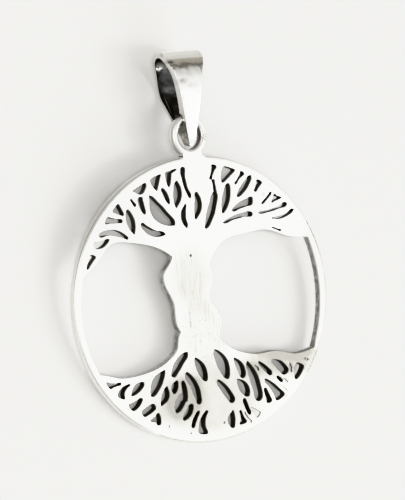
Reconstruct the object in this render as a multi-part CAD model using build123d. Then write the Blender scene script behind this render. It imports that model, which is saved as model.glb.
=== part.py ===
from build123d import *
from collections import namedtuple
from math import asin, atan2, cos, degrees, hypot, radians, sin, sqrt
import os

# A pierced silver disc with a tree inside a rim, and the folded bail that links it to a chain.
# Lengths are in millimetres. The disc is drawn flat first: X to the right, Y towards the loop,
# Z out of the face that lies uppermost. The pieces are then laid down as they rest on a table.

# Disc
disc_diameter = 30.0
disc_thickness = 1.1
rim_width = 0.8
edge_round = 0.2
slot_end_bulge = 0.14

# Shallow marks punched or filed into the upper face
dimple_depth = 0.12
facet_depth = 0.15

# Loop cast on the edge of the disc
loop_hole_width = 2.6
loop_hole_height = 2.9
loop_wire = 0.76
loop_thickness = 1.0
loop_round = 0.26
neck_left = 1.0
neck_right = 1.2
neck_flare = 0.35
neck_bite = 0.5

# Bail, a tapered strip folded over the chain and closed at its tip through the loop
bail_length = 10.24
bail_depth = 5.1
bail_rise = 1.05
bail_width = 4.44
bail_wall = 0.35
bail_blunt = 0.18
link_clearance = 0.13

# Points tried along the bail's side for the one that it lies on
rest_samples = 60

disc_radius = disc_diameter / 2
share = disc_radius / 100
loop_centre = disc_radius + loop_wire + loop_hole_height / 2
loop_top = -(disc_thickness - loop_thickness) / 2


# The tree is what is left between the gaps. Each gap runs from a foot to a head, with a width at
# its foot, belly and head. Bow moves the belly to the left of that run, and slant carries the
# left corner of the head further on than the right one. Lengths are hundredths of the disc's
# radius, and belly_at is a share of the run.
Gap = namedtuple("Gap", "foot_x foot_y head_x head_y bow foot_w belly_w head_w belly_at slant")

CROWN_LEFT = [
    Gap(-87.2, 30.8, -82.3, 38.6, 0.1, 1.8, 3.5, 4.6, 0.50, -0.7),
    Gap(-69.6, 48.5, -80.2, 45.7, 1.0, 1.7, 5.0, 4.8, 0.60, 0.0),
    Gap(-55.2, 48.5, -76.0, 52.6, -2.6, 2.2, 4.2, 2.6, 0.50, 0.0),
    Gap(-58.5, 60.4, -69.8, 62.0, 0.0, 2.4, 3.2, 4.8, 0.50, 2.0),
    Gap(-57.0, 64.8, -62.0, 69.8, 0.0, 2.0, 4.8, 7.0, 0.50, 0.0),
    Gap(-49.5, 51.2, -53.3, 67.3, 0.0, 1.6, 6.6, 2.2, 0.55, 0.0),
    Gap(-47.2, 70.2, -50.0, 74.5, 0.0, 2.2, 1.8, 1.2, 0.50, 0.0),
    Gap(-40.2, 64.2, -43.0, 74.8, 0.4, 2.2, 4.4, 4.0, 0.60, 0.0),
    Gap(-47.4, 80.2, -37.8, 83.0, -1.4, 1.2, 6.0, 3.6, 0.50, 1.0),
    Gap(-26.0, 48.2, -43.2, 56.6, 1.9, 1.3, 4.8, 3.0, 0.70, 0.0),
    Gap(-18.0, 54.4, -35.3, 75.6, 3.0, 2.5, 10.6, 1.4, 0.55, 0.0),
    Gap(-29.6, 79.6, -29.5, 88.1, 0.7, 2.0, 6.5, 8.6, 0.50, -3.1),
    Gap(-20.8, 69.5, -25.1, 79.5, -0.3, 2.0, 3.7, 2.2, 0.60, 0.0),
    Gap(-19.7, 81.3, -19.4, 90.6, 0.0, 2.0, 4.6, 5.0, 0.50, 0.0),
    Gap(-18.5, 90.3, -13.3, 92.2, 0.0, 2.4, 2.0, 1.2, 0.50, 0.0),
    Gap(-15.2, 66.3, -13.5, 83.6, -0.8, 1.8, 7.0, 2.2, 0.42, 0.0),
    Gap(-8.4, 51.5, -8.2, 67.1, 2.0, 1.6, 4.4, 1.6, 0.60, 0.0),
    Gap(-4.0, 72.2, -8.2, 92.6, 1.2, 2.2, 3.0, 3.4, 0.50, 0.0),
    Gap(-0.6, 57.2, 1.3, 74.5, -1.6, 2.2, 6.2, 2.4, 0.55, 0.0),
]

CROWN_RIGHT = [
    Gap(6.9, 49.8, 16.2, 73.5, -0.5, 2.6, 6.8, 3.2, 0.45, 0.0),
    Gap(16.1, 72.2, 14.9, 83.6, -0.3, 3.0, 2.4, 2.0, 0.50, 0.0),
    Gap(13.4, 83.6, 16.9, 92.0, 0.0, 2.2, 2.4, 4.4, 0.50, 0.0),
    Gap(22.6, 80.6, 28.6, 89.1, 0.6, 2.6, 7.6, 9.5, 0.50, -2.7),
    Gap(32.7, 78.3, 38.9, 85.2, 0.0, 1.8, 2.0, 3.8, 0.60, 0.0),
    Gap(34.0, 69.6, 45.2, 82.2, -0.3, 2.6, 5.4, 2.6, 0.50, 0.0),
    Gap(21.2, 59.2, 26.8, 78.2, -0.4, 2.2, 6.8, 3.0, 0.55, 0.0),
    Gap(29.0, 60.0, 44.9, 65.0, 0.8, 2.4, 5.0, 5.2, 0.50, 2.2),
    Gap(20.9, 52.0, 43.6, 56.3, 1.0, 1.4, 3.3, 3.2, 0.55, -1.0),
    Gap(48.1, 71.9, 51.9, 78.1, -0.2, 2.6, 3.2, 5.2, 0.50, 0.0),
    Gap(53.0, 62.6, 60.5, 69.3, -0.2, 1.8, 1.9, 1.6, 0.50, 0.0),
    Gap(68.2, 65.2, 62.2, 65.2, 0.0, 1.2, 3.2, 6.4, 0.50, 3.3),
    Gap(50.0, 56.2, 72.0, 60.6, -1.1, 1.7, 2.0, 2.4, 0.50, -0.8),
    Gap(60.2, 51.5, 77.2, 55.6, -1.7, 1.4, 2.4, 1.8, 0.45, 0.0),
    Gap(59.5, 44.9, 66.1, 42.1, -0.1, 0.9, 1.1, 1.2, 0.50, 0.0),
]

ROOTS_LEFT = [
    Gap(-69.9, -50.7, -78.6, -50.9, 0.2, 2.0, 2.6, 5.0, 0.50, -3.4),
    Gap(-63.2, -52.3, -69.9, -59.9, -1.7, 1.9, 4.0, 6.2, 0.50, -1.3),
    Gap(-61.3, -59.4, -52.3, -52.5, 0.5, 2.0, 5.8, 3.0, 0.50, 0.0),
    Gap(-54.6, -63.4, -62.9, -68.1, 0.7, 2.8, 5.1, 6.0, 0.50, -0.7),
    Gap(-45.1, -69.4, -53.9, -73.6, 0.0, 4.4, 5.6, 4.6, 0.50, 0.0),
    Gap(-42.9, -75.2, -42.6, -82.0, 0.0, 2.6, 4.1, 3.4, 0.50, 0.0),
    Gap(-43.5, -78.4, -48.6, -78.9, 0.0, 5.0, 3.2, 1.0, 0.50, 0.0),
    Gap(-45.9, -61.7, -35.3, -46.1, 0.9, 3.0, 8.2, 1.9, 0.50, 0.0),
    Gap(-28.6, -50.0, -16.6, -35.7, 0.9, 3.6, 6.6, 2.8, 0.35, 0.0),
    Gap(-39.2, -69.0, -34.3, -57.4, -1.0, 1.6, 5.9, 1.6, 0.50, 0.0),
    Gap(-28.9, -61.7, -26.3, -54.5, 0.4, 2.8, 5.2, 2.3, 0.50, 0.0),
    Gap(-21.6, -68.5, -21.4, -55.3, -0.8, 5.0, 4.4, 2.2, 0.50, 0.0),
    Gap(-27.9, -75.2, -21.2, -63.5, 0.4, 3.0, 7.6, 3.6, 0.50, 0.0),
    Gap(-17.9, -49.7, -9.6, -71.3, 1.2, 2.6, 5.6, 3.4, 0.70, 0.0),
    Gap(-10.0, -40.3, -3.1, -56.0, 0.5, 2.0, 7.0, 2.8, 0.55, 0.0),
    Gap(-22.6, -81.1, -16.0, -72.3, -0.6, 2.6, 5.2, 3.2, 0.50, 0.0),
    Gap(-16.5, -87.2, -11.1, -77.4, 0.4, 2.6, 3.1, 1.8, 0.50, 0.0),
    Gap(-4.8, -78.2, -8.6, -92.6, -2.0, 2.4, 4.7, 7.2, 0.50, -0.5),
]

ROOTS_RIGHT = [
    Gap(5.9, -36.5, 14.2, -56.4, 1.0, 2.8, 9.2, 3.2, 0.50, 0.0),
    Gap(20.8, -43.9, 26.8, -57.2, 0.9, 1.8, 5.9, 3.6, 0.50, 0.0),
    Gap(30.7, -47.8, 38.2, -75.0, 1.1, 2.0, 7.2, 4.3, 0.45, 0.0),
    Gap(6.2, -57.9, 16.9, -73.4, 0.3, 2.6, 5.9, 3.8, 0.55, 0.0),
    Gap(21.9, -59.0, 29.4, -70.6, 0.5, 1.8, 7.4, 3.4, 0.50, 0.0),
    Gap(40.1, -48.8, 48.8, -57.8, 0.1, 1.5, 3.4, 2.8, 0.50, 0.0),
    Gap(51.0, -48.8, 61.1, -58.6, 1.0, 2.0, 6.6, 4.8, 0.50, 1.8),
    Gap(69.0, -63.6, 73.1, -54.4, 0.3, 2.4, 6.9, 6.8, 0.50, 0.4),
    Gap(44.2, -61.8, 55.3, -75.5, 0.8, 2.2, 5.4, 7.8, 0.50, 1.8),
    Gap(54.0, -60.8, 57.2, -64.2, 0.0, 1.8, 2.6, 2.0, 0.50, 0.0),
    Gap(43.3, -68.1, 46.0, -77.4, 0.0, 2.4, 3.7, 4.4, 0.50, 0.0),
    Gap(25.8, -73.5, 29.4, -83.7, -0.2, 2.6, 3.0, 2.4, 0.50, 0.0),
    Gap(22.0, -81.4, 23.6, -89.5, 0.3, 1.8, 2.4, 6.0, 0.45, 0.0),
    Gap(15.9, -80.7, 15.0, -91.3, -1.0, 1.8, 6.2, 3.4, 0.60, 0.0),
]

# The two windows between the crown and the roots. Each has an edge on the rim, from its upper to
# its lower corner, and the tree's own edge between them, in hundredths of the disc's radius. A
# row with a corner starts a new curve there. Rim is the rim's width as a share of rim_width.
Edge = namedtuple("Edge", "x y corner")
RimPoint = namedtuple("RimPoint", "turn rim")

RIGHT_RIM = [RimPoint(21.9, 0.98), RimPoint(0.0, 1.05), RimPoint(-26.8, 0.72)]
RIGHT_TREE = [
    Edge(81.5, 36.2, 0),
    Edge(73.3, 37.3, 0),
    Edge(66.3, 39.7, 0),
    Edge(58.5, 43.0, 0),
    Edge(48.0, 44.3, 0),
    Edge(40.0, 43.4, 0),
    Edge(28.0, 42.0, 0),
    Edge(20.5, 39.8, 0),
    Edge(13.6, 34.6, 0),
    Edge(9.0, 28.0, 0),
    Edge(6.3, 22.7, 1),
    Edge(8.6, 17.3, 0),
    Edge(8.0, 12.0, 0),
    Edge(5.4, 5.0, 0),
    Edge(5.0, 0.0, 0),
    Edge(9.6, -7.4, 0),
    Edge(12.9, -14.6, 0),
    Edge(12.0, -21.5, 0),
    Edge(10.2, -27.6, 1),
    Edge(15.0, -32.9, 0),
    Edge(22.0, -37.9, 0),
    Edge(30.5, -41.0, 0),
    Edge(41.0, -42.6, 0),
    Edge(53.0, -42.0, 0),
    Edge(61.0, -43.5, 0),
    Edge(69.0, -45.7, 0),
    Edge(77.5, -45.3, 0),
]

LEFT_RIM = [RimPoint(164.0, 1.05), RimPoint(180.0, 1.0), RimPoint(207.0, 1.0)]
LEFT_TREE = [
    Edge(-86.0, 28.6, 0),
    Edge(-80.3, 33.3, 0),
    Edge(-74.5, 39.6, 0),
    Edge(-70.5, 43.6, 0),
    Edge(-64.5, 46.2, 0),
    Edge(-55.0, 45.5, 0),
    Edge(-44.0, 43.3, 0),
    Edge(-34.7, 40.4, 0),
    Edge(-26.7, 36.2, 0),
    Edge(-21.6, 32.0, 1),
    Edge(-24.6, 26.8, 0),
    Edge(-28.8, 20.8, 0),
    Edge(-28.8, 13.6, 0),
    Edge(-25.2, 5.2, 0),
    Edge(-22.6, -2.8, 0),
    Edge(-22.4, -12.0, 0),
    Edge(-19.6, -20.7, 1),
    Edge(-21.6, -25.0, 0),
    Edge(-22.7, -31.3, 0),
    Edge(-27.8, -37.2, 0),
    Edge(-37.0, -42.6, 0),
    Edge(-48.0, -45.8, 0),
    Edge(-60.0, -47.4, 0),
    Edge(-70.0, -46.9, 0),
    Edge(-78.0, -44.4, 0),
]

# Shallow marks in the upper face, in hundredths of the disc's radius.
Dimple = namedtuple("Dimple", "x y across")
DIMPLES = [
    Dimple(-7.3, 31.7, 1.8),
    Dimple(54.3, 69.0, 2.0),
    Dimple(79.3, -51.4, 1.6),
    Dimple(77.5, -50.5, 1.2),
    Dimple(59.8, -74.9, 1.4),
    Dimple(8.4, -87.4, 1.6),
    Dimple(-18.5, -91.5, 1.4),
    Dimple(-35.0, -84.6, 1.5),
]
FACETS = [
    Gap(31.0, -79.8, 36.2, -85.6, 0.0, 0.8, 3.4, 5.0, 0.50, 0.0),
    Gap(25.4, -82.6, 29.8, -89.6, -0.4, 0.8, 1.2, 1.6, 0.50, 0.0),
    Gap(36.4, -50.6, 39.2, -54.0, 0.3, 0.7, 1.1, 0.9, 0.50, 0.0),
    Gap(64.6, -52.6, 65.6, -58.2, 0.2, 1.0, 1.9, 1.2, 0.50, 0.0),
    Gap(58.9, -62.6, 61.9, -65.4, 0.0, 0.7, 1.1, 0.7, 0.50, 0.0),
    Gap(54.8, -66.4, 61.0, -71.4, 0.4, 0.7, 1.1, 0.8, 0.50, 0.0),
]

# Side view of the bail, from the front of its tip up the front leaf, over the fold and down the
# back leaf. Along is a share of bail_length from the tip, depth a share of bail_depth below the
# top of the front leaf, and wall the thickness there in bail_walls, where the strip is hollow.
Station = namedtuple("Station", "along depth wall")
BAIL_SIDE = [
    Station(0.040, 0.147, 0.0),
    Station(0.118, 0.120, 0.0),
    Station(0.216, 0.092, 0.0),
    Station(0.304, 0.067, 0.0),
    Station(0.382, 0.039, 3.0),
    Station(0.479, 0.014, 2.9),
    Station(0.582, 0.000, 2.8),
    Station(0.679, 0.004, 2.6),
    Station(0.807, 0.068, 2.0),
    Station(0.938, 0.210, 1.9),
    Station(0.997, 0.460, 1.8),
    Station(0.948, 0.690, 1.3),
    Station(0.802, 0.885, 1.1),
    Station(0.643, 0.996, 1.0),
    Station(0.515, 0.996, 1.0),
    Station(0.408, 0.862, 1.0),
    Station(0.299, 0.705, 1.0),
    Station(0.149, 0.510, 0.0),
    Station(0.030, 0.402, 0.0),
]
BAIL_TIP = Station(0.000, 0.284, 0.0)

# Width of the strip from its tip to past the fold: a share of bail_width, and below the loop's
# wire a share of the loop's hole, which that end passes through.
Flare = namedtuple("Flare", "along of_fold of_hole")
BAIL_FLARE = [
    Flare(0.034, 0.00, 0.18),
    Flare(0.070, 0.00, 0.25),
    Flare(0.117, 0.00, 0.33),
    Flare(0.214, 0.00, 0.47),
    Flare(0.300, 0.00, 0.58),
    Flare(0.382, 0.40, 0.00),
    Flare(0.582, 0.56, 0.00),
    Flare(0.679, 0.65, 0.00),
    Flare(0.807, 0.82, 0.00),
    Flare(0.880, 0.95, 0.00),
    Flare(0.929, 1.00, 0.00),
    Flare(0.968, 1.00, 0.00),
    Flare(1.005, 0.89, 0.00),
]


def through(at_foot, at_belly, at_head, belly_at, run):
    """The value at a share of the run, on the parabola through its foot, belly and head."""
    foot = at_foot * (run - belly_at) * (run - 1) / belly_at
    belly = at_belly * run * (run - 1) / (belly_at * (belly_at - 1))
    head = at_head * run * (run - belly_at) / (1 - belly_at)
    return foot + belly + head


def gap_face(gap):
    """One gap as a flat face: a smooth closed curve round its foot, belly and head."""
    foot = Vector(gap.foot_x, gap.foot_y) * share
    head = Vector(gap.head_x, gap.head_y) * share
    along = (head - foot).normalized()
    left = Vector(-along.Y, along.X)
    runs = [0, gap.belly_at / 2, gap.belly_at, (1 + gap.belly_at) / 2, 1]
    sides = []
    for sign in (1, -1):
        widths = (gap.foot_w / 2, gap.belly_w / 2 + sign * gap.bow, gap.head_w / 2)
        side = []
        for run in runs:
            out = sign * through(*widths, gap.belly_at, run) * share
            on = sign * gap.slant * share / 2 * max(0, run - gap.belly_at) / (1 - gap.belly_at)
            side.append(foot + (head - foot) * run + left * out + along * on)
        sides.append(side)
    foot_end = foot - along * min(slot_end_bulge, gap.foot_w * share / 2)
    head_end = head + along * min(slot_end_bulge, gap.head_w * share / 2)
    points = [*sides[0], head_end, *reversed(sides[1]), foot_end]
    return Face(Wire([Spline(*points, periodic=True)]))


def window_face(rim_points, tree_edge):
    """A window: an arc along the rim, closed by the tree's edge in one curve for each stretch."""
    on_rim = []
    for point in rim_points:
        reach = disc_radius - point.rim * rim_width
        on_rim.append(Vector(reach * cos(radians(point.turn)), reach * sin(radians(point.turn))))
    upper, middle, lower = on_rim
    curves = [ThreePointArc(upper, middle, lower)]
    stretch = [upper]
    for row in tree_edge:
        stretch.append(Vector(row.x, row.y) * share)
        if row.corner:
            curves.append(Spline(*stretch))
            stretch = stretch[-1:]
    curves.append(Spline(*stretch, lower))
    return Face(Wire(curves))


def loop_plan():
    """The oval loop seen from above, with its hole."""
    half_wide = loop_hole_width / 2
    half_high = loop_hole_height / 2
    outer = Ellipse(half_wide + loop_wire, half_high + loop_wire)
    return Pos(0, loop_centre) * (outer - Ellipse(half_wide, half_high))


def neck_plan():
    """The neck from the loop to the rim: flared on the right, with a narrow notch on the left."""
    inner = disc_radius - rim_width
    outer = disc_radius + neck_bite
    right_rim = sqrt(disc_radius**2 - (neck_right + neck_flare) ** 2)
    flare_top = Vector(neck_right, right_rim + neck_flare)
    flare_foot = Vector(neck_right + neck_flare, right_rim)
    flare_middle = Vector(neck_right, right_rim) + Vector(neck_flare, neck_flare) * (1 - sqrt(1 / 2))
    foot_right = Vector(neck_right + neck_flare, inner)
    foot_left = Vector(-neck_left, inner)
    top_left = Vector(-neck_left, outer)
    top_right = Vector(neck_right, outer)
    flare = ThreePointArc(flare_top, flare_middle, flare_foot)
    sides = Polyline(flare_foot, foot_right, foot_left, top_left, top_right, flare_top)
    return Face(Wire([flare, *sides.edges()]))


def loop_solid():
    """The loop with its edges rounded like drawn wire, and a neck that reaches into the rim."""
    ring = extrude(loop_plan(), loop_thickness / 2, both=True)
    ring = fillet(ring.edges().filter_by(GeomType.ELLIPSE), loop_round)
    neck = extrude(neck_plan(), loop_thickness / 2, both=True)
    return Pos(0, 0, -disc_thickness / 2) * (ring + neck)


def mark_solids():
    """The punched dimples and filed facets that are sunk in the upper face."""
    marks = []
    for dimple in DIMPLES:
        radius = dimple.across * share
        centre = Pos(dimple.x * share, dimple.y * share, 0)
        marks.append(centre * Cylinder(radius / 2, 2 * dimple_depth))
    for facet in FACETS:
        marks.append(extrude(gap_face(facet), facet_depth, both=True))
    return marks


def make_tree_disc():
    """The disc with its rim rounded, pierced by the gaps and windows, and the loop cast on it."""
    pierced = [window_face(RIGHT_RIM, RIGHT_TREE), window_face(LEFT_RIM, LEFT_TREE)]
    for gap in CROWN_LEFT + CROWN_RIGHT + ROOTS_LEFT + ROOTS_RIGHT:
        pierced.append(gap_face(gap))
    plan = Circle(disc_radius) - pierced
    disc = Pos(0, 0, -disc_thickness) * extrude(plan, disc_thickness)
    rims = [
        edge
        for edge in disc.edges().filter_by(GeomType.CIRCLE)
        if abs(edge.radius - disc_radius) < edge_round / 10
    ]
    disc = fillet(rims, edge_round)
    return disc - mark_solids() + loop_solid()


def bail_tip():
    """Where the bail's tip stands, clear of the lower edge of the loop's hole."""
    return loop_centre - loop_hole_height / 2 + link_clearance


def bail_point(row):
    """The point of the side view at one row, in the plane of Y and Z."""
    up = bail_tip() + row.along * bail_length
    return Vector(0, up, loop_top + bail_rise - row.depth * bail_depth)


def bail_half_width(row):
    """Half the strip's width at one row of its flare."""
    return (row.of_fold * bail_width + row.of_hole * loop_hole_width) / 2


def room_for_loop():
    """Points round the loop's wire, from behind it to its front, where the bail keeps clear."""
    widest = max(bail_half_width(row) for row in BAIL_FLARE if row.of_hole)
    lowest = loop_hole_height / 2 * sqrt(1 - (2 * widest / loop_hole_width) ** 2)
    below = loop_centre + lowest - link_clearance
    middle = loop_centre + loop_hole_height / 2 + loop_wire / 2
    above = middle + loop_wire / 2 + link_clearance
    back = loop_top - loop_thickness - link_clearance
    front = loop_top + link_clearance
    off_corner = (loop_round + link_clearance) * (1 - sqrt(1 / 2))
    return [
        Vector(0, below + link_clearance, back),
        Vector(0, below, loop_top - loop_thickness / 2),
        Vector(0, below + link_clearance, loop_top),
        Vector(0, middle, front),
        Vector(0, above - off_corner, front - off_corner),
        Vector(0, above, loop_top - loop_round),
    ]


def bail_hollow():
    """The inner points of the side view: a wall's thickness inside the fold, then the loop."""
    inner = []
    for before, row, after in zip(BAIL_SIDE, BAIL_SIDE[1:], BAIL_SIDE[2:]):
        if row.wall:
            along = bail_point(after) - bail_point(before)
            inward = Vector(0, along.Z, -along.Y).normalized()
            inner.append(bail_point(row) + inward * row.wall * bail_wall)
    return inner + room_for_loop()


def bail_leaf():
    """The outer line of the side view, from the front of the tip over the fold to its back."""
    return Spline(*[bail_point(row) for row in BAIL_SIDE])


def make_bail():
    """The folded strip: its side view drawn out sideways, then cut to the strip's taper."""
    leaf = bail_leaf()
    tip = ThreePointArc(leaf @ 1, bail_point(BAIL_TIP), leaf @ 0)
    skin = Face(Wire([leaf, tip]))
    hollow = Face(Wire([Spline(*bail_hollow(), periodic=True)]))
    side = extrude(skin - hollow, bail_width, dir=(1, 0, 0), both=True)

    right = []
    for row in BAIL_FLARE:
        right.append(Vector(bail_half_width(row), bail_tip() + row.along * bail_length))
    left = [Vector(-point.X, point.Y) for point in right]
    foot = Vector(0, bail_tip() + bail_blunt)
    tip_curve = ThreePointArc(left[0], foot, right[0])
    taper_edge = [tip_curve, Spline(*right), Line(right[-1], left[-1]), Spline(*left)]
    taper = extrude(Face(Wire(taper_edge)), 2 * bail_depth, both=True)
    return side & taper


def rest_tilt():
    """The lean of the disc when its rounded rim and the bail's back lie on a table, in degrees."""
    leaf = bail_leaf()
    leans = []
    for step in range(rest_samples + 1):
        point = leaf @ (step / rest_samples)
        run = point.Y + disc_radius - edge_round
        drop = edge_round - disc_thickness - point.Z
        leans.append(atan2(drop, run) - asin(edge_round / hypot(drop, run)))
    return degrees(max(leans))


def lay_down(pieces):
    """Lays the pieces on the table, with the origin under the middle of the whole object."""
    lean = Rotation(rest_tilt(), 0, 0)
    laid = {name: lean * piece for name, piece in pieces.items()}
    box = Compound(list(laid.values())).bounding_box()
    middle = box.center()
    shift = Pos(-middle.X, -middle.Y, -box.min.Z)
    return {name: shift * piece for name, piece in laid.items()}


os.makedirs("parts", exist_ok=True)
for node, solid in lay_down({"tree_disc": make_tree_disc(), "bail": make_bail()}).items():
    export_step(solid, f"parts/{node}.step")
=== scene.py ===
"""A tree of life pendant in cast silver, lying on a pale table with its plain face up."""

import math

import bmesh
import bpy
from mathutils import Matrix, Vector


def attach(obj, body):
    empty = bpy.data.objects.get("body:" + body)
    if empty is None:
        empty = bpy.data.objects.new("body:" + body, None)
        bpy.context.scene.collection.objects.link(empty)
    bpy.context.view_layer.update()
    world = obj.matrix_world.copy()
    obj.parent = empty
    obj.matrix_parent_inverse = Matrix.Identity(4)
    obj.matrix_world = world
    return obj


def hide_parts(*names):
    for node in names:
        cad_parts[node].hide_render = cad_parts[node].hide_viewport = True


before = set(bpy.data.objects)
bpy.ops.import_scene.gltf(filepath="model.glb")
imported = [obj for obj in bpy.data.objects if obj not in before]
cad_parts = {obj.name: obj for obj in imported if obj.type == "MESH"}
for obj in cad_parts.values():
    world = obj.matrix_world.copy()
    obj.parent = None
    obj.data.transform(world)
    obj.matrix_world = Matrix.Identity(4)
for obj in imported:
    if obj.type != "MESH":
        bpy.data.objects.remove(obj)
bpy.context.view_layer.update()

# The disc: a rim, a tree, a loop and its neck, cast in one piece of silver and sawn clean by hand.
# Its upper face is sanded flat, its sharp edges are worn round, and the narrow gaps of crown and
# roots keep the dark oxide that the polishing wheel can't reach.

MM = 0.001
disc_radius = 15 * MM
disc_thickness = 1.1 * MM

# It lies on the rim's lower edge and on the bail, so it leans a little. Its own frame starts in the
# middle of its upper face, with y towards the loop and z out of the face.
disc_centre = Vector((0, -5.59655, 2.33787)) * MM
lean = math.radians(4.7958)
laid = Matrix.Translation(disc_centre) @ Matrix.Rotation(lean, 4, "X")

# Points closer than this are one point, a face is a wall if its normal rises less than this, and
# an edge that turns more than this stays sharp.
one_point = 0.001 * MM
wall_rise = 0.5
sharp_turn = math.radians(32)

# Where the loop's neck stands on the rim, and how much lower its top is as packed.
loop_foot = disc_radius - 0.4 * MM
neck_left, neck_right = -1.01 * MM, 1.56 * MM
rim_reach = disc_radius - 0.06 * MM
loop_sink = 0.05 * MM

# What tells the walls apart, and how much oxide each kind keeps. The wheel rubbed those that face
# right. A window's walls keep no oxide but carry how far they face left, towards the viewer, which
# sets where shade is painted on them.
mark_depth = 0.3 * MM
rim_foot = disc_radius - 0.3 * MM
window_span = 6 * MM
kept_oxide = {"mark": 0.2, "loop": 0.8, "rim": 0.05, "slot": 1.0}
rubbed_share = 0.6
turned_gain = 1.5

# The worn edge is a quarter round in a few steps, with a narrow flat band behind it.
worn_edge = 0.045 * MM
worn_steps = 3
flat_margin = 0.01 * MM


def merged_copy(node):
    """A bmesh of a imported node, with its loose triangles joined, in the disc's own frame."""
    shape = bmesh.new()
    shape.from_mesh(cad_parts[node].data)
    bmesh.ops.remove_doubles(shape, verts=shape.verts, dist=one_point)
    bmesh.ops.transform(shape, matrix=laid.inverted(), verts=shape.verts)
    shape.normal_update()
    return shape


def in_scene(name, held):
    """A new object in the scene, which holds a mesh, a lamp or a camera."""
    thing = bpy.data.objects.new(name, held)
    bpy.context.scene.collection.objects.link(thing)
    return thing


def object_of(shape, name):
    """Makes an object of a bmesh."""
    mesh = bpy.data.meshes.new(name)
    shape.to_mesh(mesh)
    shape.free()
    return in_scene(name, mesh)


def lay_down(shape, name):
    """Lays a finished shape down as an object that shades smooth except over sharp edges."""
    bmesh.ops.transform(shape, matrix=laid, verts=shape.verts)
    shape.normal_update()
    for face in shape.faces:
        face.smooth = True
    for edge in shape.edges:
        edge.smooth = edge.is_manifold and edge.calc_face_angle() < sharp_turn
    return object_of(shape, name)


def patches(faces, borders=()):
    """Splits faces into groups that join edge to edge without crossing a border."""
    left, borders = set(faces), set(borders)
    while left:
        patch, reached = [], [left.pop()]
        while reached:
            face = reached.pop()
            patch.append(face)
            for edge in set(face.edges) - borders:
                for neighbour in left.intersection(edge.link_faces):
                    left.remove(neighbour)
                    reached.append(neighbour)
        yield patch


def wall_kind(corners):
    """What a standing wall bounds: a shallow mark, the loop, the rim, a window or a slot."""
    width, height = (max(c[i] for c in corners) - min(c[i] for c in corners) for i in range(2))
    if min(c.z for c in corners) > -mark_depth:
        return "mark"
    if min(c.y for c in corners) > loop_foot:
        return "loop"
    if min(c.to_2d().length for c in corners) > rim_foot:
        return "rim"
    return "window" if min(width, height) > window_span else "slot"


def wear_round(shape, height, outward):
    """Rounds the edges of the flat faces at one height. Outward is 1 for up and -1 for down."""
    flat = [f for f in shape.faces if all(abs(v.co.z - height) < one_point for v in f.verts)]
    turns = [math.pi / 2 * step / worn_steps for step in range(worn_steps + 1)]
    lift = Vector((0, 0, outward))
    bmesh.ops.translate(shape, verts=list({v for f in flat for v in f.verts}), vec=-lift * worn_edge)
    for low, high in zip(turns, turns[1:]):
        width = worn_edge * (math.cos(low) - math.cos(high))
        bmesh.ops.inset_region(shape, faces=flat, thickness=width, use_boundary=True,
                               use_even_offset=True)
        rise = worn_edge * (math.sin(high) - math.sin(low))
        bmesh.ops.translate(shape, verts=list({v for f in flat for v in f.verts}), vec=lift * rise)
    bmesh.ops.inset_region(shape, faces=flat, thickness=flat_margin, use_boundary=True,
                           use_even_offset=True)


# The sanding levelled the loop and its neck with the rim, so their top joins the disc's face. What
# lies lower as packed is raised past the rim and, on the rim itself, between the neck's sides.
casting = merged_copy("tree_disc")
for v in casting.verts:
    on_loop = v.co.to_2d().length > rim_reach or neck_left < v.co.x < neck_right
    if v.co.y > loop_foot and on_loop and v.co.z > -loop_sink - one_point:
        v.co.z = 0
bmesh.ops.remove_doubles(casting, verts=casting.verts, dist=one_point)
bmesh.ops.dissolve_degenerate(casting, edges=casting.edges, dist=one_point)
casting.normal_update()

oxide = casting.verts.layers.float.new("oxide")
mark = casting.verts.layers.float.new("mark")
window = casting.verts.layers.float.new("window")
for wall in patches(f for f in casting.faces if abs(f.normal.z) < wall_rise):
    corners = {v for f in wall for v in f.verts}
    kind = wall_kind([v.co for v in corners])
    for v in corners:
        v[mark] = kind == "mark"
        v[window] = kind == "window"
        # On a window's walls the layer holds how far each point faces left, which weights the
        # painted shade.
        if kind == "window":
            v[oxide] = min(1, turned_gain * max(0, -v.normal.x))
        else:
            v[oxide] = kept_oxide[kind] * (1 - rubbed_share * max(0, v.normal.x))
wear_round(casting, 0, 1)
wear_round(casting, -disc_thickness, -1)
disc = lay_down(casting, "silver_tree_disc")


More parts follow.
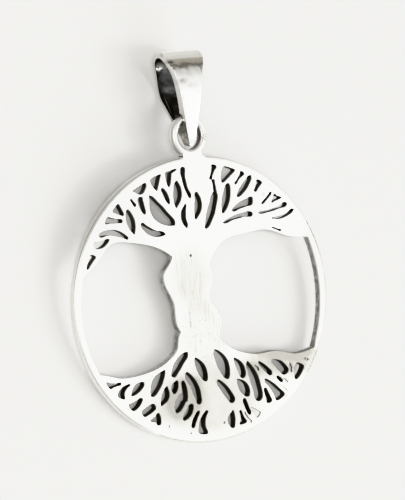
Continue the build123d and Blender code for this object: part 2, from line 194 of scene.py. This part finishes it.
class Socket:
    """A shader node's output, which adds, scales and compares like a number."""

    def __init__(self, tree, output=None):
        self.tree, self.output = tree, output

    def feed(self, node, sockets):
        """Sets a node's sockets to values, or links them to other nodes' outputs."""
        for name, value in sockets.items():
            if isinstance(value, Socket):
                self.tree.links.new(value.output, node.inputs[name])
            else:
                node.inputs[name].default_value = value

    def add(self, kind, settings, sockets, give=0):
        """Adds a node, its settings first and then its sockets, and gives one of its outputs."""
        node = self.tree.nodes.new("ShaderNode" + kind)
        for name, value in settings.items():
            setattr(node, name, value)
        self.feed(node, sockets)
        return Socket(self.tree, node.outputs[give])

    def other(self, name):
        """Another output of the same node."""
        return Socket(self.tree, self.output.node.outputs[name])

    def parts(self):
        """The three numbers of a point or a colour."""
        split = self.add("SeparateXYZ", {}, {0: self})
        return [split.other(i) for i in range(3)]

    def maths(self, operation, *values):
        """A Math node on these values, in this order."""
        return self.add("Math", {"operation": operation}, dict(enumerate(values)))

    def __add__(self, other):
        return self.maths("ADD", self, other)

    def __sub__(self, other):
        return self.maths("SUBTRACT", self, other)

    def __rsub__(self, other):
        return self.maths("SUBTRACT", other, self)

    def __mul__(self, other):
        return self.maths("MULTIPLY", self, other)

    __radd__, __rmul__ = __add__, __mul__

    def between(self, low, high):
        """0 below one value and 1 above the other, with a soft step from one to the other."""
        return self.add("MapRange", {"interpolation_type": "SMOOTHSTEP"},
                        {"Value": self, "From Min": low, "From Max": high})

    def band(self, low, high, soft):
        """1 between two values and 0 outside them, with soft steps."""
        return self.between(low - soft, low + soft) * (1 - self.between(high - soft, high + soft))

    def blend(self, under, over):
        """A colour that goes from one to the other as this goes from 0 to 1."""
        # A Mix node's sockets go by number, because its names for them repeat.
        factor, first_colour, second_colour, mixed_colour = 0, 6, 7, 2
        return self.add("Mix", {"data_type": "RGBA"},
                        {factor: self, first_colour: under, second_colour: over}, mixed_colour)


def new_material(name):
    """A material, its shader, and a start for the nodes that feed it."""
    material = bpy.data.materials.new(name)
    material.use_nodes = True
    return material, material.node_tree.nodes["Principled BSDF"], Socket(material.node_tree)


def disc_place(mix):
    """The point on the piece in the disc's own frame, in millimetres, and its three numbers."""
    here = mix.add("TexCoord", {}, {}, "Object")
    place = mix.add("Mapping", {"vector_type": "TEXTURE"},
                    {"Vector": here, "Location": disc_centre, "Rotation": (lean, 0, 0),
                     "Scale": (MM, MM, MM)})
    return place, place.parts()


def spot(x, y, middle, reach, core=0.2):
    """1 in the middle of an oval place, fading to 0 at its reach, both in millimetres."""
    across = (x - middle[0]) * (1 / reach[0])
    along = (y - middle[1]) * (1 / reach[1])
    return 1 - x.maths("SQRT", across * across + along * along).between(core, 1.0)


def noise(place, scale, detail):
    """Soft noise, with about this many patches to a millimetre."""
    return place.add("TexNoise", {}, {"Vector": place, "Scale": scale, "Detail": detail})


def drawn_out(place, stroke, turn, detail):
    """Noise in strokes that reach this far along x, y and z, then turned in the disc's face."""
    strokes = place.add("Mapping", {"vector_type": "TEXTURE"},
                        {"Vector": place, "Rotation": (0, 0, turn), "Scale": stroke})
    return noise(strokes, 1.0, detail)


def carried(mix, name):
    """A number that the mesh carries at its points."""
    return mix.add("Attribute", {"attribute_name": name}, {}, "Fac")


bright_silver = (0.97, 0.965, 0.945, 1)
dull_and_shaded_silver = (0.28, 0.27, 0.243, 1)
scratch_and_shade_tone = (0.34, 0.323, 0.288, 1)
oxide_and_shade_tone = (0.076, 0.074, 0.069, 1)
scratch_depth = 0.012 * MM

# In the materials, places and sizes are in millimetres. Rim and loop are ovals round a middle.
rim_middle, rim_oval = (0, 0), (disc_radius / MM, disc_radius / MM)
loop_middle, loop_oval = (0, 17.21), (2.06, 2.21)
sanding_stroke = (1 / 6.5, 1 / 0.3, 1)
file_stroke = (2.4, 0.2, 1)
file_turn = math.radians(-52)
pits_per_mm = 3.0

sanded, shader, mix = new_material("sanded_silver")
place, (x, y, z) = disc_place(mix)
cloudy = noise(place, 0.5, 3.0)
grain = noise(place, 7.0, 3.0)
ragged = noise(place, 1.7, 3.0)

# Where the sanding was left coarse: upright strokes on the trunk and slanted file strokes over the
# roots.
# Patches on trunk, roots, left crown and right rim, and a spot on the right roots by the rim, are
# painted
# darker: partly duller metal, partly painted shade for dimmer reflections. A trace of solder is on
# the loop's right side, and most of the casting's pits are on the lower trunk.
waist = spot(x, y, (-1.3, 2.3), (3.6, 4.6), 0.3)
lower_trunk = spot(x, y, (-0.2, -3.6), (3.8, 4.8), 0.45)
root_bed = spot(x, y, (0.4, -10.6), (8.5, 5.2), 0.45)
right_roots = spot(x, y, (9.0, -7.2), (7.0, 3.2), 0.4)
left_roots = spot(x, y, (-5.6, -9.4), (5.8, 4.2), 0.5)
right_rim = spot(x, y, (13.8, 1.0), (2.2, 8.5), 0.5)
left_crown = spot(x, y, (-10.0, 9.0), (7.0, 6.5))
dim_reflection_spot = spot(x, y, (10.2, -6.7), (3.4, 1.2), 0.3)
upright = drawn_out(place, sanding_stroke, 0, 4.0)
slanted = drawn_out(place, file_stroke, file_turn, 4.0)
strokes = upright.between(0.53, 0.64) * (waist + lower_trunk * 0.7)
strokes = strokes + slanted.between(0.5, 0.64) * (right_roots + root_bed * 0.3)
solder = spot(x, y, (1.6, 16.95), (0.6, 0.8)) * grain.between(0.42, 0.52)
cells = mix.add("TexVoronoi", {}, {"Vector": place, "Scale": pits_per_mm})
picked = cells.other("Color").parts()[0].between(0.66, 0.7)
pits = (1 - cells.between(0.18, 0.42)) * picked * (0.12 + lower_trunk * 0.88)

# Oxide: black down in the slots and inside the loop, and a little in each mark. A window's walls get
# painted shade instead, low down where they face left towards the viewer and near the top elsewhere.
# A fine dark line follows the rim's upper half and the loop, and a notch at the neck's left foot is
# black.
kept = carried(mix, "oxide")
in_window = carried(mix, "window")
in_mark = carried(mix, "mark") * (1 - z.between(-0.08, -0.03)) * (0.16 + waist * 0.7)
in_slot = kept * (1 - z.between(-0.24, -0.06)) * (1 - in_window)
shade_near_top = z.band(-0.43, -0.05, 0.05) * (1 - kept) * 0.62
shade_lower_down = z.band(-1.04, -0.26, 0.14) * kept * (0.4 + ragged.between(0.3, 0.6) * 0.38)
window_wall_shade = in_window * (shade_near_top + shade_lower_down)
round_rim = (1 - spot(x, y, rim_middle, rim_oval, 0.97)) * (1 - y.between(14.8, 15.2))
round_loop = (1 - spot(x, y, loop_middle, loop_oval, 0.8)) * y.between(15.1, 15.4)
# A fine dark line below the edge of the rim's upper half and round the loop, which also dents the
# bumps a little.
fine_dark_line = z.band(-0.22, -0.07, 0.04) * round_rim * y.between(1.0, 7.0) * 0.5
fine_dark_line = fine_dark_line + z.band(-0.32, -0.2, 0.05) * round_loop * 0.6
notch = spot(x, y, (-1.05, 15.08), (0.2, 0.13)) * (1 - z.between(-0.12, -0.04))
oxide_and_painted_shade = in_slot + in_mark + fine_dark_line + notch + window_wall_shade

# The face: bright metal, darkened by painted shade and dull patches, with strokes, pits and solder
# on top, then the oxide, the fine dark lines and the painted shade on the windows' walls.
dullness_and_painted_shade = waist * 0.56 + lower_trunk * 0.46 + root_bed * 0.74 + right_roots * 0.84
dullness_and_painted_shade = dullness_and_painted_shade + left_roots * 0.42 + left_crown * 0.27 + right_rim * 0.37 + dim_reflection_spot * 0.3
dullness_and_painted_shade = dullness_and_painted_shade * (0.84 + cloudy * 0.3) + cloudy.between(0.45, 0.8) * 0.06 + grain * 0.1
metal = mix.maths("MINIMUM", dullness_and_painted_shade, 1.0).blend(bright_silver, dull_and_shaded_silver)
metal = (strokes * 0.95 + pits * 0.8 + solder).blend(metal, scratch_and_shade_tone)
bumps = upright * 0.5 + grain * 0.5 - pits * 1.5 - fine_dark_line * 2
relief = mix.add("Bump", {}, {"Height": bumps, "Strength": 0.35, "Distance": scratch_depth})
mix.feed(shader, {
    "Base Color": oxide_and_painted_shade.blend(metal, oxide_and_shade_tone),
    "Metallic": 1 - oxide_and_painted_shade * 0.6,
    "Roughness": 0.3 + strokes * 0.15 + grain * 0.08 + oxide_and_painted_shade * 0.25,
    "Normal": relief,
})
disc.data.materials.append(sanded)
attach(disc, "root")
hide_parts("tree_disc")

# The bail: a tapered strip of sheet silver, folded over and closed on the loop, and polished
# bright on a wheel after it was soldered, so its edges are soft and its inside stays dark.

# An edge that turns more than the crease bounds a skin and is softened, and a face whose normal
# points more sideways than this is a sawn side.
soft_edge = 0.06 * MM
soft_segments = 3
crease = math.radians(38)
sideways = 0.8
wave_depth = 0.06 * MM
wheel_stroke = (1 / 6, 2.5, 2.5)
oxide_and_shade_black = (0.032, 0.032, 0.031, 1)


def share(v, layer):
    """How many of the faces round a point are marked in a layer, from 0 to 1."""
    return sum(f[layer] for f in v.link_faces) / len(v.link_faces)


# The strip's largest smooth skin is its outside, and the next is its inside.
strip = merged_copy("bail")
inner = strip.faces.layers.int.new("inner")
edgewise = strip.faces.layers.int.new("edgewise")
folds = [e for e in strip.edges if e.is_manifold and e.calc_face_angle() > crease]
skins = sorted(patches(strip.faces, folds), key=lambda skin: -sum(f.calc_area() for f in skin))
for face in skins[1]:
    face[inner] = 1
for face in strip.faces:
    face[edgewise] = abs(face.normal.x) > sideways and not face[inner]
bmesh.ops.bevel(strip, geom=folds, offset=soft_edge, segments=soft_segments, profile=0.5,
                affect="EDGES", material=-1, clamp_overlap=True)
oxide = strip.verts.layers.float.new("oxide")
sawn = strip.verts.layers.float.new("sawn")
for v in strip.verts:
    v[oxide] = share(v, inner)
    v[sawn] = share(v, edgewise)
bail = lay_down(strip, "silver_bail")

polished, shader, mix = new_material("polished_silver")
place, (x, y, z) = disc_place(mix)
swirl = drawn_out(place, wheel_stroke, 0, 3.0)
wavy = noise(place, 0.8, 1.0)
smudge = noise(place, 2.2, 4.0)
kept = carried(mix, "oxide")
side = carried(mix, "sawn")

# The front leaf has a grey smudge below the fold. A dark reflection is painted black at the fold's
# left end, and the fold's top is painted darker as a dimmer reflection. The sawn sides are duller,
# with painted shade by the loop and black under its wire, and a painted crease shadow along their
# edge. The black inside has a rubbed patch near the fold and one fine scratch.
in_front = z.between(-1.2, -0.6)
stain = spot(x, y, (-0.8, 22.9), (0.95, 0.5)) + spot(x, y, (0.2, 22.35), (0.95, 0.5)) * 0.7
stain = stain * (0.3 + smudge.between(0.3, 0.7) * 0.5)
fold_end_reflection = spot(x, y, (-1.72, 24.93), (0.6, 0.3)) * in_front * 0.85
fold_top_dim_reflection = y.between(25.45, 25.75) * in_front * 0.45
shade_by_loop = 1 - y.between(18.3, 20.0)
sides = side * (0.3 + shade_by_loop * (0.35 + smudge.between(0.35, 0.65) * 0.5))
shade_under_wire = side * y.band(17.4, 18.6, 0.25) * 0.6
crease_shade_line = side.band(0.3, 0.7, 0.15) * y.band(19.4, 23.6, 0.7) * smudge.between(0.35, 0.55) * 0.5
rubbed = spot(x, y, (-1.85, 24.3), (0.35, 0.25), 0.4)
rubbed = rubbed + spot(x, y, (-1.4, 24.2), (0.7, 0.4)) * smudge.between(0.5, 0.6) * 0.6
haze = spot(x, y, (-1.5, 24.7), (0.9, 0.5)) * 0.14
scratch = spot(x, y, (-0.62, 20.4), (0.1, 1.3), 0.3) * 0.35
bare = rubbed + haze + scratch + smudge.between(0.5, 0.8) * 0.08
black = kept * (1 - mix.maths("MINIMUM", bare, 1.0)) + fold_end_reflection + shade_under_wire + crease_shade_line
tarnish_and_painted_shade = in_front * stain + sides + fold_top_dim_reflection

# The strip: bright metal with faint marks of the wheel, then its tarnish and painted shade, then the
# black of oxide and of painted shade and reflection.
metal = (swirl.between(0.5, 0.8) * 0.12).blend(bright_silver, dull_and_shaded_silver)
metal = tarnish_and_painted_shade.blend(metal, scratch_and_shade_tone)
bumps = wavy + swirl * 0.08
relief = mix.add("Bump", {}, {"Height": bumps, "Strength": 0.6, "Distance": wave_depth})
mix.feed(shader, {
    "Base Color": black.blend(metal, oxide_and_shade_black),
    "Metallic": 1 - black * 0.4,
    "Roughness": 0.13 + swirl * 0.06 + tarnish_and_painted_shade * 0.15 + black * 0.1,
    "Normal": relief,
})
bail.data.materials.append(polished)
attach(bail, "root")
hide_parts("bail")

# The table: a matt pale board that the pendant lies on. It is one flat sheet, so wide that none of
# its edges shows.

table_reach = 1.5
board_tone = (0.888, 0.888, 0.888, 1)

board = bmesh.new()
bmesh.ops.create_grid(board, x_segments=1, y_segments=1, size=table_reach)
table = object_of(board, "table")
matt, shader, mix = new_material("matt_board")
mix.feed(shader, {"Base Color": board_tone, "Roughness": 0.9, "Specular IOR Level": 0.1})
table.data.materials.append(matt)

# The light: a soft lamp on the right, whose edge the flat face mirrors to the viewer, two more from
# the right and the front, and a window beside the camera. The room round it is pale and warm, dim
# on the left, with a dark wall under a darker cornice beyond the bail.

horizon_tone, zenith_tone = (0.72, 0.68, 0.61, 1), (1.15, 1.16, 1.17, 1)
window_tone, shade_tone = (1.15, 1.15, 1.14, 1), (0.28, 0.265, 0.23, 1)
corner_tone = (0.7, 0.69, 0.66, 1)
wall_tone, cornice_tone = (0.4, 0.37, 0.315, 1), (0.06, 0.053, 0.04, 1)


def soft_light(name, way, half_angle, radiance, tint):
    """A round light one metre off that looks this bright and this wide from the pendant."""
    lamp = bpy.data.lights.new(name, "AREA")
    lamp.shape = "DISK"
    reach = math.tan(math.radians(half_angle))
    lamp.size = 2 * reach
    lamp.energy = radiance * math.pi * math.pi * reach**2
    lamp.color = tint
    way = laid.to_3x3() @ Vector(way).normalized()
    light = in_scene(name, lamp)
    light.location = disc_centre + way
    light.rotation_euler = way.to_track_quat("Z", "Y").to_euler()


soft_light("key", way=(0.47, -0.22, 0.855), half_angle=10, radiance=2.4, tint=(0.97, 0.99, 1.0))
soft_light("side", way=(0.7, -0.25, 0.67), half_angle=9, radiance=9.5, tint=(0.96, 0.985, 1.0))
soft_light("front", way=(0.36, -0.76, 0.54), half_angle=13, radiance=3.6, tint=(0.97, 0.99, 1.0))
soft_light("window", way=(-0.42, 0.05, 0.9), half_angle=8, radiance=16, tint=(1.0, 0.985, 0.955))

room = bpy.data.worlds.new("room")
room.use_nodes = True
mix = Socket(room.node_tree)
across, along, above = mix.add("TexCoord", {}, {}, "Generated").parts()
far_side = (across * 0.2 + along * 0.98).between(0.18, 0.45) * (1 - across.between(0.52, 0.72))
sky = above.between(0.12, 1.0).blend(horizon_tone, zenith_tone)
sky = ((across * 0.95 - along * 0.3).between(0.1, 0.8) * 0.6).blend(sky, window_tone)
sky = ((1 - across.between(-0.2, 0.4)) * 0.75).blend(sky, shade_tone)
sky = (far_side * (1 - above.between(0.76, 0.9))).blend(sky, corner_tone)
wall = above.between(0.6, 0.655).blend(wall_tone, cornice_tone)
on_wall = far_side * above.between(0.27, 0.42) * (1 - above.between(0.7, 0.735))
mix.feed(room.node_tree.nodes["Background"], {"Color": on_wall.blend(sky, wall)})
bpy.context.scene.world = room
bpy.context.scene.view_settings.view_transform = "Khronos PBR Neutral"

# The camera: a long lens 300 mm off, above the left side and a little towards the bail, and turned
# slightly, as the photograph was taken. Its place and its ways are in the disc's own frame.

eye = Vector((-140.32, 23.07, 264.21)) * MM
forward = Vector((0.4691, -0.0597, -0.8811))
right = Vector((0.8774, -0.0816, 0.4727))
focal_length, sensor_width = 206.7, 36
nearest = 10 * MM

up = right.cross(forward)
turned = Matrix((right, up, -forward)).transposed().to_4x4()
lens = bpy.data.cameras.new("long_lens")
lens.lens = focal_length
lens.sensor_width = sensor_width
lens.clip_start = nearest
camera = in_scene("camera", lens)
camera.matrix_world = laid @ Matrix.Translation(eye) @ turned
bpy.context.scene.camera = camera
